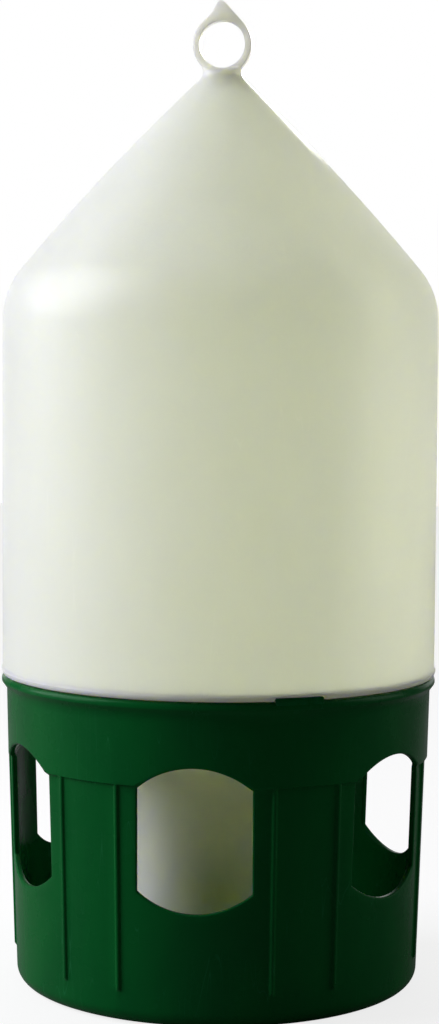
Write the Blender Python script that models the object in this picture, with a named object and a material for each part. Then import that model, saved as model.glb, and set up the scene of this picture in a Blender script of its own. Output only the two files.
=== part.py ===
"""Vacuum drinker for pigeons: a blow-moulded water tank that stands in a moulded drinking base.

Metres, +Z up, origin at the middle of the underside. Azimuth 0 faces -Y, the middle of the front
window, and grows towards +X.
"""

import math

import bmesh
import bpy
from mathutils import Matrix, Vector

MM = 0.001
SEGMENTS = 60  # facets round every turned surface
GAP = 0.3 * MM  # clearance between faces that touch

# Drinking base: a tapered cup with a wider band and a thick rim at its mouth.
RIM_TOP = 129.0 * MM
RIM_RADIUS = 90.4 * MM
RIM_UNDERSIDE = 125.6 * MM
RIM_TAPER_HEIGHT = 2.3 * MM
RIM_ROUNDING = 1.0 * MM
BAND_TOP_RADIUS = 88.4 * MM
BAND_BOTTOM_RADIUS = 87.7 * MM
BAND_BOTTOM = 95.3 * MM
WALL_TOP_RADIUS = 86.7 * MM
WALL_FOOT_RADIUS = 83.8 * MM
WALL_THICKNESS = 2.4 * MM
FOOT_ROUNDING = 6.4 * MM
FOOT_RING_WIDTH = 11.0 * MM
FOOT_RECESS = 0.8 * MM
FLOOR_THICKNESS = 2.6 * MM
FLOOR_ROUNDING = 3.0 * MM

# Six drinking windows with arched heads and sills, and a pair of ribs on each pillar between them.
WINDOW_COUNT = 6
WINDOW_HALF_WIDTH = 22.5 * MM
WINDOW_HEAD_TOP = 103.0 * MM
WINDOW_HEAD_SPRING = 94.2 * MM
WINDOW_SILL_SPRING = 53.5 * MM
WINDOW_SILL_BOTTOM = 45.5 * MM
WINDOW_CHAMFER = 0.6 * MM
RIB_OFFSET = math.radians(9.1)
RIB_WIDTH = 2.2 * MM
RIB_HEIGHT = 0.9 * MM
RIB_BOTTOM = 12.6 * MM

# Low guides on the floor, which centre the tank's neck and let water pass between them.
GUIDE_INNER_RADIUS = 48.6 * MM
GUIDE_THICKNESS = 2.0 * MM
GUIDE_TOP = 13.0 * MM
GUIDE_SPAN = math.radians(36)

# A key on the rim stands in a notch of the tank's lip, so the tank seats one way round.
KEY_START = math.radians(19.9)
KEY_END = math.radians(33.5)
KEY_HEIGHT = 1.4 * MM
KEY_INNER_RADIUS = 88.0 * MM
KEY_OUTER_RADIUS = 90.2 * MM
KEY_SIDE_CLEARANCE = math.radians(0.35)

# Water tank: a cylinder under a slightly domed cone, with a lip, a spigot, a funnel and a neck.
TANK_RADIUS = 90.1 * MM
TANK_WALL = 1.8 * MM
SHOULDER_START = 275.0 * MM
SHOULDER_RADIUS = 34.0 * MM
CONE_START_SLOPE = math.radians(40)
CONE_END_SLOPE = math.radians(46.4)
CONE_DOME_RADIUS = 950.0 * MM
LIP_RADIUS = 90.7 * MM
LIP_HEIGHT = 2.1 * MM
LIP_BLEND = 1.8 * MM
LIP_THICKNESS = 3.3 * MM
SPIGOT_RADIUS = 84.7 * MM
SPIGOT_BOTTOM = 119.0 * MM
SPIGOT_ROUNDING = 8.0 * MM
FUNNEL_SLOPE = math.radians(20)
NECK_RADIUS = 47.0 * MM
NECK_ROUNDING = 10.0 * MM
NECK_BOTTOM = 8.0 * MM
OUTLET_COUNT = 3
OUTLET_WIDTH = 16.0 * MM
OUTLET_TOP = 27.0 * MM

# Flat hanging ring on a short round stub at the apex, with a peak where the moulding was trimmed.
STUB_RADIUS = 8.2 * MM
STUB_TOP = 379.6 * MM
STUB_ROUNDING = 1.6 * MM
RING_CENTRE = 388.7 * MM
RING_OUTER_RADIUS = 12.2 * MM
RING_HOLE_RADIUS = 9.4 * MM
RING_THICKNESS = 5.0 * MM
RING_EDGE = 0.9 * MM
RING_PEAK_TOP = 406.6 * MM
RING_PEAK_HALF_WIDTH = 1.0 * MM
RING_PEAK_SPREAD = math.radians(50)
RING_POINTS = 36


def clear_scene():
    for obj in list(bpy.data.objects):
        bpy.data.objects.remove(obj)


def at(azimuth, radius, height):
    return Vector((radius * math.sin(azimuth), -radius * math.cos(azimuth), height))


def blend(low, high, share):
    return low + (high - low) * share


def arc(centre, radius, start, end, steps):
    """Points on an arc in the (radius, height) half-plane; angle 0 points outwards and 90 degrees up."""
    points = []
    for step in range(steps + 1):
        angle = blend(start, end, step / steps)
        points.append((centre[0] + radius * math.cos(angle), centre[1] + radius * math.sin(angle)))
    return points


def base_wall_radius(height):
    """Outer radius of the base between its foot and its rim."""
    if height >= BAND_BOTTOM:
        share = (height - BAND_BOTTOM) / (RIM_UNDERSIDE - BAND_BOTTOM)
        return blend(BAND_BOTTOM_RADIUS, BAND_TOP_RADIUS, share)
    return blend(WALL_FOOT_RADIUS, WALL_TOP_RADIUS, height / BAND_BOTTOM)


def base_profile():
    """The base's section, from the middle of the floor up the inside, over the rim and down the outside."""
    floor_top = FOOT_RECESS + FLOOR_THICKNESS
    inner_foot = base_wall_radius(floor_top + FLOOR_ROUNDING) - WALL_THICKNESS
    inner_step = 0.6 * MM
    rim_start = RIM_UNDERSIDE - RIM_TAPER_HEIGHT
    foot_start = base_wall_radius(FOOT_ROUNDING)
    foot_flat = foot_start - FOOT_ROUNDING
    recess_edge = foot_flat - FOOT_RING_WIDTH
    corner = (inner_foot - FLOOR_ROUNDING, floor_top + FLOOR_ROUNDING)
    rim_corner = (RIM_RADIUS - RIM_ROUNDING, RIM_TOP - RIM_ROUNDING)
    foot_corner = (foot_flat, FOOT_ROUNDING)
    right = math.radians(90)

    profile = [(0.0, floor_top)]
    profile += arc(corner, FLOOR_ROUNDING, -right, 0.0, 3)
    profile.append((base_wall_radius(BAND_BOTTOM - 2 * inner_step) - WALL_THICKNESS, BAND_BOTTOM - inner_step))
    profile.append((BAND_BOTTOM_RADIUS - WALL_THICKNESS, BAND_BOTTOM + inner_step))
    profile.append((BAND_TOP_RADIUS - WALL_THICKNESS, RIM_TOP - inner_step))
    profile.append((BAND_TOP_RADIUS - WALL_THICKNESS + inner_step, RIM_TOP))
    profile += arc(rim_corner, RIM_ROUNDING, right, 0.0, 3)
    profile.append((RIM_RADIUS, RIM_UNDERSIDE))
    profile.append((base_wall_radius(rim_start), rim_start))
    profile.append((BAND_BOTTOM_RADIUS, BAND_BOTTOM))
    profile.append((base_wall_radius(BAND_BOTTOM - 0.4 * MM), BAND_BOTTOM - 0.4 * MM))
    profile += arc(foot_corner, FOOT_ROUNDING, 0.0, -right, 4)
    profile.append((recess_edge, 0.0))
    profile.append((recess_edge - FOOT_RECESS, FOOT_RECESS))
    profile.append((0.0, FOOT_RECESS))
    return profile


def cone_points(radius, start_height, shoulder, dome, steps):
    """The shoulder's arc and the domed cone above it, from the cylinder upwards."""
    points = []
    for step in range(steps[0] + 1):
        slope = CONE_START_SLOPE * step / steps[0]
        points.append((radius - shoulder * (1 - math.cos(slope)), start_height + shoulder * math.sin(slope)))
    foot = points[-1]
    for step in range(1, steps[1] + 1):
        slope = blend(CONE_START_SLOPE, CONE_END_SLOPE, step / steps[1])
        inwards = dome * (math.cos(CONE_START_SLOPE) - math.cos(slope))
        upwards = dome * (math.sin(slope) - math.sin(CONE_START_SLOPE))
        points.append((foot[0] - inwards, foot[1] + upwards))
    return points


def funnel_points(spigot, neck, height, spigot_rounding, neck_rounding, steps):
    """From a spigot's wall down through the funnel to a neck's wall, as two arcs and the slope between."""
    turn = math.radians(90) - FUNNEL_SLOPE
    spigot_centre = (spigot - spigot_rounding, height)
    upper = arc(spigot_centre, spigot_rounding, 0.0, -turn, steps)
    neck_centre_radius = neck + neck_rounding
    run = upper[-1][0] - (neck_centre_radius - neck_rounding * math.cos(turn))
    neck_centre_height = upper[-1][1] - run * math.tan(FUNNEL_SLOPE) - neck_rounding * math.sin(turn)
    half_turn = math.radians(180)
    lower = arc((neck_centre_radius, neck_centre_height), neck_rounding, half_turn - turn, half_turn, steps)
    return upper + lower


def tank_profile():
    """The tank's section, from the top of the stub down the outside, round the mouth and up the inside."""
    lip_bottom = RIM_TOP + GAP
    right = math.radians(90)
    stub_corner = (STUB_RADIUS - STUB_ROUNDING, STUB_TOP - STUB_ROUNDING)
    outer_cone = cone_points(TANK_RADIUS, SHOULDER_START, SHOULDER_RADIUS, CONE_DOME_RADIUS, (6, 5))
    inner_cone = cone_points(
        TANK_RADIUS - TANK_WALL,
        SHOULDER_START,
        SHOULDER_RADIUS - TANK_WALL,
        CONE_DOME_RADIUS - TANK_WALL,
        (4, 3),
    )
    lip_corner = (LIP_RADIUS - LIP_HEIGHT / 2, lip_bottom + LIP_HEIGHT / 2)

    profile = [(0.0, STUB_TOP)]
    profile += arc(stub_corner, STUB_ROUNDING, right, 0.0, 2)
    profile.append((STUB_RADIUS, outer_cone[-1][1] + STUB_ROUNDING))
    profile += reversed(outer_cone)
    profile.append((TANK_RADIUS, lip_bottom + LIP_HEIGHT + LIP_BLEND))
    profile.append((LIP_RADIUS, lip_bottom + LIP_HEIGHT))
    profile += arc(lip_corner, LIP_HEIGHT / 2, 0.0, -right, 3)
    profile.append((SPIGOT_RADIUS, lip_bottom))
    profile += funnel_points(SPIGOT_RADIUS, NECK_RADIUS, SPIGOT_BOTTOM, SPIGOT_ROUNDING, NECK_ROUNDING, 3)
    profile.append((NECK_RADIUS, NECK_BOTTOM))
    profile.append((NECK_RADIUS - TANK_WALL, NECK_BOTTOM))
    inside = funnel_points(
        SPIGOT_RADIUS - TANK_WALL,
        NECK_RADIUS - TANK_WALL,
        SPIGOT_BOTTOM,
        SPIGOT_ROUNDING - TANK_WALL,
        NECK_ROUNDING + TANK_WALL,
        2,
    )
    profile += reversed(inside)
    profile.append((SPIGOT_RADIUS - TANK_WALL, lip_bottom + LIP_THICKNESS))
    profile.append((TANK_RADIUS - TANK_WALL, lip_bottom + LIP_THICKNESS + TANK_WALL))
    profile += inner_cone
    profile.append((0.0, inner_cone[-1][1] + 2 * TANK_WALL))
    return profile


def object_from(bm, name, origin=Vector()):
    """A mesh object from bm, whose own origin is at the given place."""
    bmesh.ops.recalc_face_normals(bm, faces=bm.faces)
    mesh = bpy.data.meshes.new(name)
    bm.to_mesh(mesh)
    bm.free()
    mesh.transform(Matrix.Translation(-origin))
    mesh.shade_smooth()
    mesh.set_sharp_from_angle(angle=math.radians(32))
    obj = bpy.data.objects.new(name, mesh)
    obj.location = origin
    bpy.context.scene.collection.objects.link(obj)
    return obj


def turned(name, profile, origin=Vector()):
    """A solid of revolution about Z from a section that starts and ends on the axis."""
    bm = bmesh.new()
    verts = [bm.verts.new(at(0.0, radius, height)) for radius, height in profile]
    edges = [bm.edges.new(pair) for pair in zip(verts, verts[1:])]
    bmesh.ops.spin(
        bm,
        geom=verts + edges,
        cent=(0.0, 0.0, 0.0),
        axis=(0.0, 0.0, 1.0),
        angle=math.radians(360),
        steps=SEGMENTS,
        use_merge=True,
    )
    bmesh.ops.remove_doubles(bm, verts=bm.verts, dist=1e-6)
    return object_from(bm, name, origin)


def add_loft(bm, loops):
    """A closed solid through loops that hold the same number of points, capped at both ends."""
    rings = [[bm.verts.new(point) for point in loop] for loop in loops]
    for near, far in zip(rings, rings[1:]):
        for index, vert in enumerate(near):
            after = (index + 1) % len(near)
            bm.faces.new((vert, near[after], far[after], far[index]))
    bm.faces.new(rings[0])
    bm.faces.new(reversed(rings[-1]))


def offset_outline(outline, distance):
    """The closed anticlockwise outline moved outwards by a distance, with mitred corners."""
    moved = []
    for index, point in enumerate(outline):
        before = Vector(outline[index - 1])
        here = Vector(point)
        after = Vector(outline[(index + 1) % len(outline)])
        first = (here - before).normalized()
        second = (after - here).normalized()
        normal = Vector((first.y + second.y, -first.x - second.x)).normalized()
        stretch = normal.dot(Vector((first.y, -first.x)))
        moved.append(tuple(here + normal * (distance / stretch)))
    return moved


def bow(half_width, spring, crown, steps):
    """An arch from +half_width to -half_width that starts at the spring height and peaks at the crown."""
    rise = abs(crown - spring)
    radius = (half_width**2 + rise**2) / (2 * rise)
    half_angle = math.asin(half_width / radius)
    side = math.copysign(1.0, crown - spring)
    points = []
    for step in range(steps + 1):
        angle = blend(half_angle, -half_angle, step / steps)
        points.append((radius * math.sin(angle), crown - side * radius * (1 - math.cos(angle))))
    return points


def window_outline():
    head = bow(WINDOW_HALF_WIDTH, WINDOW_HEAD_SPRING, WINDOW_HEAD_TOP, 8)
    sill = bow(WINDOW_HALF_WIDTH, WINDOW_SILL_SPRING, WINDOW_SILL_BOTTOM, 8)
    return head + sill[::-1]


def make_window_cutters():
    """Straight plugs that widen over the last of the wall, which leaves each window a chamfered outer edge."""
    outline = window_outline()
    flare = 2 * WINDOW_CHAMFER
    wide = offset_outline(outline, flare)
    bm = bmesh.new()
    for index in range(WINDOW_COUNT):
        middle = math.radians(360) * index / WINDOW_COUNT
        loops = [[], [], [], []]
        for (across, height), (wide_across, wide_height) in zip(outline, wide):
            wall = base_wall_radius(height)
            corners = (
                (across, wall - 4 * WALL_THICKNESS, height),
                (across, wall - WINDOW_CHAMFER, height),
                (wide_across, wall + WINDOW_CHAMFER, wide_height),
                (wide_across, wall + 2 * WALL_THICKNESS, wide_height),
            )
            for loop, (offset, radius, level) in zip(loops, corners):
                loop.append(at(middle + math.asin(offset / radius), radius, level))
        add_loft(bm, loops)
    return helper(object_from(bm, "window_cutters"))


def make_rib_forms():
    """Two thin upright ribs on each pillar, ramped at the foot and run into the band at the top."""
    sink = 0.6 * MM
    foot_ramp = 1.5 * MM
    heights = (
        (RIB_BOTTOM, -0.3 * MM),
        (RIB_BOTTOM + foot_ramp, RIB_HEIGHT),
        (BAND_BOTTOM + 0.5 * MM, RIB_HEIGHT),
    )
    bm = bmesh.new()
    for index in range(WINDOW_COUNT):
        pillar = math.radians(360) * (index + 0.5) / WINDOW_COUNT
        for azimuth in (pillar - RIB_OFFSET, pillar + RIB_OFFSET):
            loops = []
            for height, rise in heights:
                wall = blend(WALL_FOOT_RADIUS, WALL_TOP_RADIUS, height / BAND_BOTTOM)
                half = RIB_WIDTH / 2 / wall
                outer = wall + rise
                loops.append([
                    at(azimuth - 1.2 * half, wall - sink, height),
                    at(azimuth + 1.2 * half, wall - sink, height),
                    at(azimuth + half, outer - 0.2 * MM, height),
                    at(azimuth + 0.7 * half, outer, height),
                    at(azimuth - 0.7 * half, outer, height),
                    at(azimuth - half, outer - 0.2 * MM, height),
                ])
            add_loft(bm, loops)
    return helper(object_from(bm, "rib_forms"))


def add_curved_bar(bm, start, end, radii, heights, steps):
    """A bar of rectangular section that follows the round wall from one azimuth to another."""
    loops = []
    for step in range(steps + 1):
        azimuth = blend(start, end, step / steps)
        loops.append([
            at(azimuth, radii[0], heights[0]),
            at(azimuth, radii[1], heights[0]),
            at(azimuth, radii[1], heights[1]),
            at(azimuth, radii[0], heights[1]),
        ])
    add_loft(bm, loops)


def make_guide_forms():
    bm = bmesh.new()
    floor_top = FOOT_RECESS + FLOOR_THICKNESS
    radii = (GUIDE_INNER_RADIUS, GUIDE_INNER_RADIUS + GUIDE_THICKNESS)
    for index in range(WINDOW_COUNT):
        middle = math.radians(360) * (index + 0.5) / WINDOW_COUNT
        heights = (floor_top - 0.5 * MM, GUIDE_TOP)
        add_curved_bar(bm, middle - GUIDE_SPAN / 2, middle + GUIDE_SPAN / 2, radii, heights, 6)
    return helper(object_from(bm, "guide_forms"))


def make_key_form():
    bm = bmesh.new()
    start = KEY_START + KEY_SIDE_CLEARANCE
    end = KEY_END - KEY_SIDE_CLEARANCE
    heights = (RIM_TOP - 1.5 * RIM_ROUNDING, RIM_TOP + KEY_HEIGHT)
    add_curved_bar(bm, start, end, (KEY_INNER_RADIUS, KEY_OUTER_RADIUS), heights, 3)
    return helper(object_from(bm, "key_form"))


def make_notch_cutter():
    bm = bmesh.new()
    radii = (KEY_INNER_RADIUS - 2 * GAP, LIP_RADIUS + 2 * MM)
    heights = (RIM_TOP - 2 * MM, RIM_TOP + KEY_HEIGHT + GAP)
    add_curved_bar(bm, KEY_START, KEY_END, radii, heights, 3)
    return helper(object_from(bm, "notch_cutter"))


def make_outlet_cutters():
    """Arched slots up from the mouth of the neck; their tops set the water level in the base."""
    head = bow(OUTLET_WIDTH / 2, OUTLET_TOP - OUTLET_WIDTH / 3, OUTLET_TOP, 4)
    foot = NECK_BOTTOM - 3 * MM
    outline = head + [(-OUTLET_WIDTH / 2, foot), (OUTLET_WIDTH / 2, foot)]
    bm = bmesh.new()
    for index in range(OUTLET_COUNT):
        middle = math.radians(360) * (index + 0.5) / OUTLET_COUNT
        loops = [
            [at(middle + across / NECK_RADIUS, radius, height) for across, height in outline]
            for radius in (NECK_RADIUS - 4 * TANK_WALL, NECK_RADIUS + 2 * TANK_WALL)
        ]
        add_loft(bm, loops)
    return helper(object_from(bm, "outlet_cutters"))


def ring_point(angle):
    """The ring's outer edge at an angle from +X: a circle, with straight sides up to the peak."""
    from_top = abs(angle - math.radians(90))
    if from_top >= RING_PEAK_SPREAD:
        return (RING_OUTER_RADIUS * math.cos(angle), RING_CENTRE + RING_OUTER_RADIUS * math.sin(angle))
    side = math.copysign(1.0, math.cos(angle))
    share = 1 - from_top / RING_PEAK_SPREAD
    if share > 0.999:
        return (0.0, RING_PEAK_TOP + RING_PEAK_HALF_WIDTH / 3)
    start_across = RING_OUTER_RADIUS * math.sin(RING_PEAK_SPREAD)
    start_height = RING_CENTRE + RING_OUTER_RADIUS * math.cos(RING_PEAK_SPREAD)
    across = blend(start_across, 0.0, share)
    height = blend(start_height, RING_PEAK_TOP + RING_PEAK_HALF_WIDTH, share)
    return (side * across, height)


def make_ring_form():
    """The flat eye, in the X-Z plane, with rounded edges."""
    bm = bmesh.new()
    loops = {}
    for face in (-1, 1):
        depth = face * RING_THICKNESS / 2
        outer = []
        inner = []
        for index in range(RING_POINTS):
            angle = math.radians(360) * index / RING_POINTS
            across, height = ring_point(angle)
            outer.append(bm.verts.new((across, depth, height)))
            hole = (RING_HOLE_RADIUS * math.cos(angle), depth, RING_CENTRE + RING_HOLE_RADIUS * math.sin(angle))
            inner.append(bm.verts.new(hole))
        loops[face] = (outer, inner)
    for index in range(RING_POINTS):
        after = (index + 1) % RING_POINTS
        strips = (
            (loops[-1][0], loops[-1][1]),
            (loops[-1][1], loops[1][1]),
            (loops[1][1], loops[1][0]),
            (loops[1][0], loops[-1][0]),
        )
        for near, far in strips:
            bm.faces.new((near[index], near[after], far[after], far[index]))
    form = helper(object_from(bm, "ring_form"))
    bevel = form.modifiers.new("rounded edges", "BEVEL")
    bevel.width = RING_EDGE
    bevel.segments = 2
    bevel.limit_method = "ANGLE"
    bevel.angle_limit = math.radians(60)
    return form


def helper(obj):
    obj.hide_render = True
    obj.display_type = "WIRE"
    return obj


def combine(target, tool, operation):
    modifier = target.modifiers.new(tool.name, "BOOLEAN")
    modifier.operation = operation
    modifier.solver = "EXACT"
    modifier.object = tool


def plastic(name, color, roughness):
    material = bpy.data.materials.new(name)
    material.use_nodes = True
    shader = material.node_tree.nodes["Principled BSDF"]
    shader.inputs["Base Color"].default_value = (*color, 1.0)
    shader.inputs["Roughness"].default_value = roughness
    shader.inputs["Metallic"].default_value = 0.0
    return material


def make_base():
    base = turned("drinking_base", base_profile())
    base.data.materials.append(plastic("green polypropylene", (0.0, 0.11, 0.04), 0.32))
    combine(base, make_window_cutters(), "DIFFERENCE")
    combine(base, make_rib_forms(), "UNION")
    combine(base, make_guide_forms(), "UNION")
    combine(base, make_key_form(), "UNION")
    return base


def make_tank():
    """The tank's own origin is on the axis that it lifts along, at the height of its lip."""
    tank = turned("water_tank", tank_profile(), Vector((0.0, 0.0, RIM_TOP + GAP)))
    tank.data.materials.append(plastic("natural polyethylene", (0.80, 0.81, 0.72), 0.45))
    combine(tank, make_notch_cutter(), "DIFFERENCE")
    combine(tank, make_outlet_cutters(), "DIFFERENCE")
    combine(tank, make_ring_form(), "UNION")
    return tank


clear_scene()
make_base()
make_tank()
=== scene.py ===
"""Pigeon drinker: the finished look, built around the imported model.

Metres, +Z up. Azimuth 0 faces -Y, the middle of the front window, and grows towards +X.
"""

import math

import bmesh
import bpy
from mathutils import Matrix, Vector


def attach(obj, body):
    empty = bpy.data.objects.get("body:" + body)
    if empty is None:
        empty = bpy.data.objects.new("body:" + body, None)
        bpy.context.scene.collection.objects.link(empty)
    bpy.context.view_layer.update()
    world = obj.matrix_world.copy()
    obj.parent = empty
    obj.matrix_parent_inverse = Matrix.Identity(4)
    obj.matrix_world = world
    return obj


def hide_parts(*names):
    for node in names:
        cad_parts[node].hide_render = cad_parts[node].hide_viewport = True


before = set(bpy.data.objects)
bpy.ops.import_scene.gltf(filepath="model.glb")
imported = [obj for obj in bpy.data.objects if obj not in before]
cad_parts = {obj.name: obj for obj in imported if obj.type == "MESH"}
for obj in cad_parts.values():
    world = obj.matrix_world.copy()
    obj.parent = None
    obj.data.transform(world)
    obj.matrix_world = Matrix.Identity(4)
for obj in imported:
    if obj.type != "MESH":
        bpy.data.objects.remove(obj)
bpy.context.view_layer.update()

MM = 0.001
FULL_TURN = math.radians(360)
RIGHT = math.radians(90)

# Camera, solved from the photo's circles and window spacing.
PHOTO_HEIGHT = 1024
PHOTO_FOCAL_LENGTH = 2338.5
SENSOR_SIZE = 36.0
CAMERA_AZIMUTH = math.radians(6.1)
CAMERA_DISTANCE = 974.1 * MM
CAMERA_HEIGHT = 263.9 * MM
CAMERA_PITCH = math.radians(-4.0)
CAMERA_ROLL = math.radians(0.39)

# Light of the room in front of the object and of the backdrop behind it.
# Each has a level in front and behind, and the Y of the ray's direction where it starts and ends to rise.
ROOM_LIGHT = (0.01, 0.35, -0.1, 0.6)
ROOM_REFLECTION = (0.02, 1.0, 0.7, 1.0)
LIGHT_BOUNCES = 12
FLOOR_GLOW = 0.8
FLOOR_RADIUS = 3.0
FLOOR_SHADE = (0.25, 0.25, 0.25, 1.0)
FLOOR_ROUGHNESS = 0.8
WHITE = (1.0, 1.0, 1.0, 1.0)

# Lamps: place, the point they face, width and height, watts, colour, and the spread where it is narrow.
# The last two ride on the tank and stand for the daylight that its milky plastic lets through.
LEFT_SOFTBOX = ((-1.4, -0.12, 0.9), (0.0, 0.0, 0.2), (1.3, 1.3), 26.3, (1.0, 1.0, 1.06))
RIGHT_FILL = ((1.5, 0.3, 0.8), (0.0, 0.0, 0.2), (0.8, 1.3), 4.6, (1.0, 0.98, 0.94))
TANK_DAYLIGHT = ((-0.02, -0.033, 0.197), (0.55, 1.0, 0.197), (0.03, 0.16), 0.117, (1.0, 1.0, 1.0))
RING_DAYLIGHT = ((0.05, 0.25, 0.44), (0.0, 0.0, 0.388), (0.05, 0.05), 0.012, (1.0, 1.0, 1.0), 18)

# Drinking base, as in the CAD model but with finer roundings.
RIM_TOP = 129.0 * MM
RIM_RADIUS = 90.4 * MM
RIM_UNDERSIDE = 125.6 * MM
RIM_ROUNDING = 2.2 * MM
RIM_LOWER_ROUNDING = 0.7 * MM
RIM_FILLET_INSET = 1.0 * MM
RIM_FILLET_DROP = 0.9 * MM
MOUTH_ROUNDING = 0.6 * MM
MOUTH_BOTTOM = 124.0 * MM
BAND_TOP_RADIUS = 88.4 * MM
BAND_BOTTOM_RADIUS = 87.7 * MM
BAND_BOTTOM = 95.3 * MM
BAND_STEP = 0.5 * MM
WALL_TOP_RADIUS = 86.7 * MM
WALL_FOOT_RADIUS = 83.8 * MM
WALL_THICKNESS = 2.4 * MM
FOOT_ROUNDING = 6.4 * MM
FOOT_RING_WIDTH = 11.0 * MM
FOOT_RECESS = 0.8 * MM
FLOOR_TOP = 3.4 * MM
FLOOR_ROUNDING = 3.0 * MM
INSIDE_BOTTOM = 11.0 * MM
FLOOR_RADII = (60.0, 45.0, 30.0, 12.0)
UNDERSIDE_RADII = (50.0, 30.0, 12.0)

# Windows and ribs.
WINDOW_COUNT = 6
WINDOW_HALF_WIDTH = 22.5 * MM
WINDOW_HEAD_TOP = 103.0 * MM
WINDOW_HEAD_SPRING = 94.2 * MM
WINDOW_SILL_SPRING = 53.5 * MM
WINDOW_SILL_BOTTOM = 45.5 * MM
WINDOW_OUTER_ROUNDING = 0.8 * MM
WINDOW_INNER_ROUNDING = 0.5 * MM
WINDOW_COLUMNS = 28
RIB_OFFSET = math.radians(9.1)
RIB_BOTTOM = 12.6 * MM
RIB_FOOT_RAMP = 1.6 * MM
RIB_FOOT_ROWS = (14.6, 14.0, 13.5, 13.0, 12.6, 9.0)
RIB_SECTION = ((1.45, 0.0), (1.2, 0.06), (0.98, 0.28), (0.78, 0.6), (0.52, 0.83), (0.25, 0.9), (0.0, 0.92))

# Guides on the floor, and the key on the rim.
GUIDE_INNER_RADIUS = 48.6 * MM
GUIDE_THICKNESS = 2.0 * MM
GUIDE_TOP = 13.0 * MM
GUIDE_SPAN = math.radians(36)
GUIDE_EDGE = 0.5 * MM
KEY_START = math.radians(19.9)
KEY_END = math.radians(33.5)
KEY_HEIGHT = 1.4 * MM
KEY_INNER_RADIUS = 88.0 * MM
KEY_OUTER_RADIUS = 90.2 * MM
KEY_SIDE_CLEARANCE = math.radians(0.35)
KEY_EDGE = 0.4 * MM
GAP = 0.3 * MM

# Water tank.
TANK_RADIUS = 90.1 * MM
TANK_WALL = 1.8 * MM
SHOULDER_START = 275.0 * MM
SHOULDER_RADIUS = 34.0 * MM
CONE_START_SLOPE = math.radians(40)
CONE_DOME_RADIUS = 950.0 * MM
LIP_BOTTOM = RIM_TOP + GAP
LIP_RADIUS = 90.7 * MM
LIP_HEIGHT = 2.1 * MM
LIP_LEAN = 0.25
LIP_BLEND = ((0.0, 1.6), (0.0, 0.7), (0.12, 0.3), (0.4, 0.05))
LIP_TOP_ROUNDING = 0.25 * MM
LIP_TOP_DROP = 0.3 * MM
LIP_ROUNDING = 0.45 * MM
NOTCH_EASE = 0.5 * MM
NOTCH_STEP = 0.35 * MM
LIP_THICKNESS = 2.2 * MM
LIP_CORNER = 0.9 * MM
SPIGOT_RADIUS = 84.7 * MM
SPIGOT_BOTTOM = 119.0 * MM
SPIGOT_ROUNDING = 8.0 * MM
FUNNEL_SLOPE = math.radians(20)
NECK_RADIUS = 47.0 * MM
NECK_ROUNDING = 10.0 * MM
NECK_BOTTOM = 8.0 * MM
NECK_ROWS = (85.0, 70.0, 55.0, 40.0, 25.0)
EASED_EDGE = 0.5 * MM
WALL_BOTTOM = 136.0 * MM
INNER_WALL_BOTTOM = 140.0 * MM
OUTLET_COUNT = 3
OUTLET_WIDTH = 16.0 * MM
OUTLET_TOP = 27.0 * MM
SMALLEST_EDGE = 0.001 * MM
CUT_MARGIN = 3.0 * MM

# Lumps on the wall, out to the lip's radius: a boss at the left end of the notch, and a level mark under
# the shoulder. Azimuth, half width, heights, eased edge and steps.
LUMP_RADII = (TANK_RADIUS - 0.6 * MM, LIP_RADIUS)
BOSS_HEIGHTS = (LIP_BOTTOM + 0.4 * MM, LIP_BOTTOM + LIP_HEIGHT + 1.6 * MM)
BOSS = (KEY_START - 1.9 * MM / TANK_RADIUS, 1.5 * MM, BOSS_HEIGHTS, 0.5 * MM, 6)
LEVEL_MARK = (math.radians(-38.0), 9.5 * MM, (273.0 * MM, 275.5 * MM), 0.2 * MM, 8)

# Stub and hanging ring at the apex, made as a coarse cage that subdivision rounds.
STUB_RADIUS = 8.2 * MM
STUB_TOP = 379.1 * MM
STUB_CROWN = 1.7 * MM
STUB_FOOT = 376.0 * MM
RING_CENTRE = 388.7 * MM
RING_OUTER_RADIUS = 12.2 * MM
RING_HOLE_RADIUS = 9.4 * MM
RING_HALF_THICKNESS = 2.5 * MM
RING_EDGE = 0.75 * MM
RING_TIP = ((0.6, 17.5), (-0.6, 17.75), (-1.9, 17.5))
RING_SAG = 0.5 * MM
CAGE_LEVELS = 3
CAGE_SWELL = 1.012  # the cage is larger than the ring, because rounding draws it in
STUB_COLUMNS = (-1.0, -0.9, -0.42, -0.26, 0.0, 0.26, 0.42, 0.9, 1.0)
STUB_TURNS = (132, 121, 110, 100, 90, 80, 70, 59, 48)
STUB_FLARE = ((8.3, 376.9), (8.4, 376.2), (8.7, 375.5), (9.4, 374.4))
APEX_SLOPES = (46.26, 46.05, 45.8, 45.5, 45.1, 44.6)

# Degrees round the ring of the strand's inner and outer points, from the stub up to the peak; the inner
# ones of the peak's flank with their share of the way to the tip; and those under the tip.
STRAND_ANGLES = ((-62, -41), (-47, -31), (-30, -19), (-12, -5), (7, 9), (24, 24), (38, 37), (48, 46))
FLANK_ANGLES = ((58, 0.35), (68, 0.7))
TIP_ANGLES = (79, 90, 101)

# The 12 points round a strand's section, as steps across its width and through its depth.
SECTION_ORDER = ((0, 0), (1, 0), (2, 0), (3, 0), (3, 1), (3, 2))
SECTION_ORDER += ((3, 3), (2, 3), (1, 3), (0, 3), (0, 2), (0, 1))

# How far light reaches into the tank's plastic, and its colours. The ring's colour is painted paler than the
# wall's. It is a painted highlight standing in for the backlight that shines through the ring and stub.
WALL_REACH = 12 * MM
NECK_REACH = 2 * MM
RING_REACH = 20 * MM
LIP_REACH = 6 * MM
NATURAL_COLOUR = (0.87, 0.88, 0.853, 1.0)
NATURAL_CLOUD = (0.85, 0.86, 0.826, 1.0)
RING_COLOUR_PAINTED_PALER = (0.96, 0.965, 0.94, 1.0)
PARTING_HALF_WIDTH = 0.35 * MM

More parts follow.
